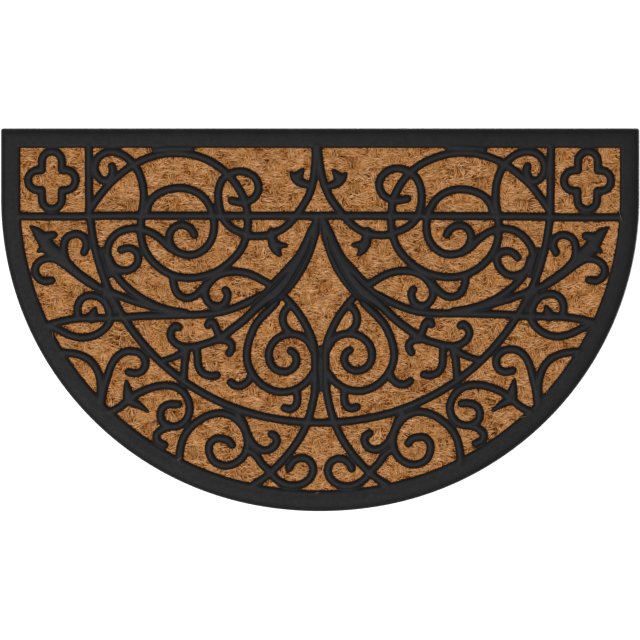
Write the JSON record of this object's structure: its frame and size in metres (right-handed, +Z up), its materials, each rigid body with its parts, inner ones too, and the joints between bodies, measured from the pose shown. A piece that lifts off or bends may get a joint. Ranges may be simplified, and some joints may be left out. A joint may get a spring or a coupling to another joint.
{
  "type": "half round coir doormat with a rubber grille",
  "caption": "Half round doormat: a flat panel of coir matting held in a black rubber moulding whose border and scrollwork grille stand over the coir.",
  "frame": {"origin": "on the floor under the middle of the mat's outline", "axes": "+X to the right along the straight edge, +Y towards the straight edge that lies along the door, +Z up"},
  "size_m": [0.762, 0.457, 0.01],
  "materials": {
    "rubber": "black moulded rubber, satin on the crests and matt on the flats",
    "coir": "woven natural coir, coarse and matt, golden brown with darker gaps"
  },
  "bodies": {
    "root": {"rubber_moulding": "rubber", "coir_panel": "coir"}
  },
  "joints": []
}
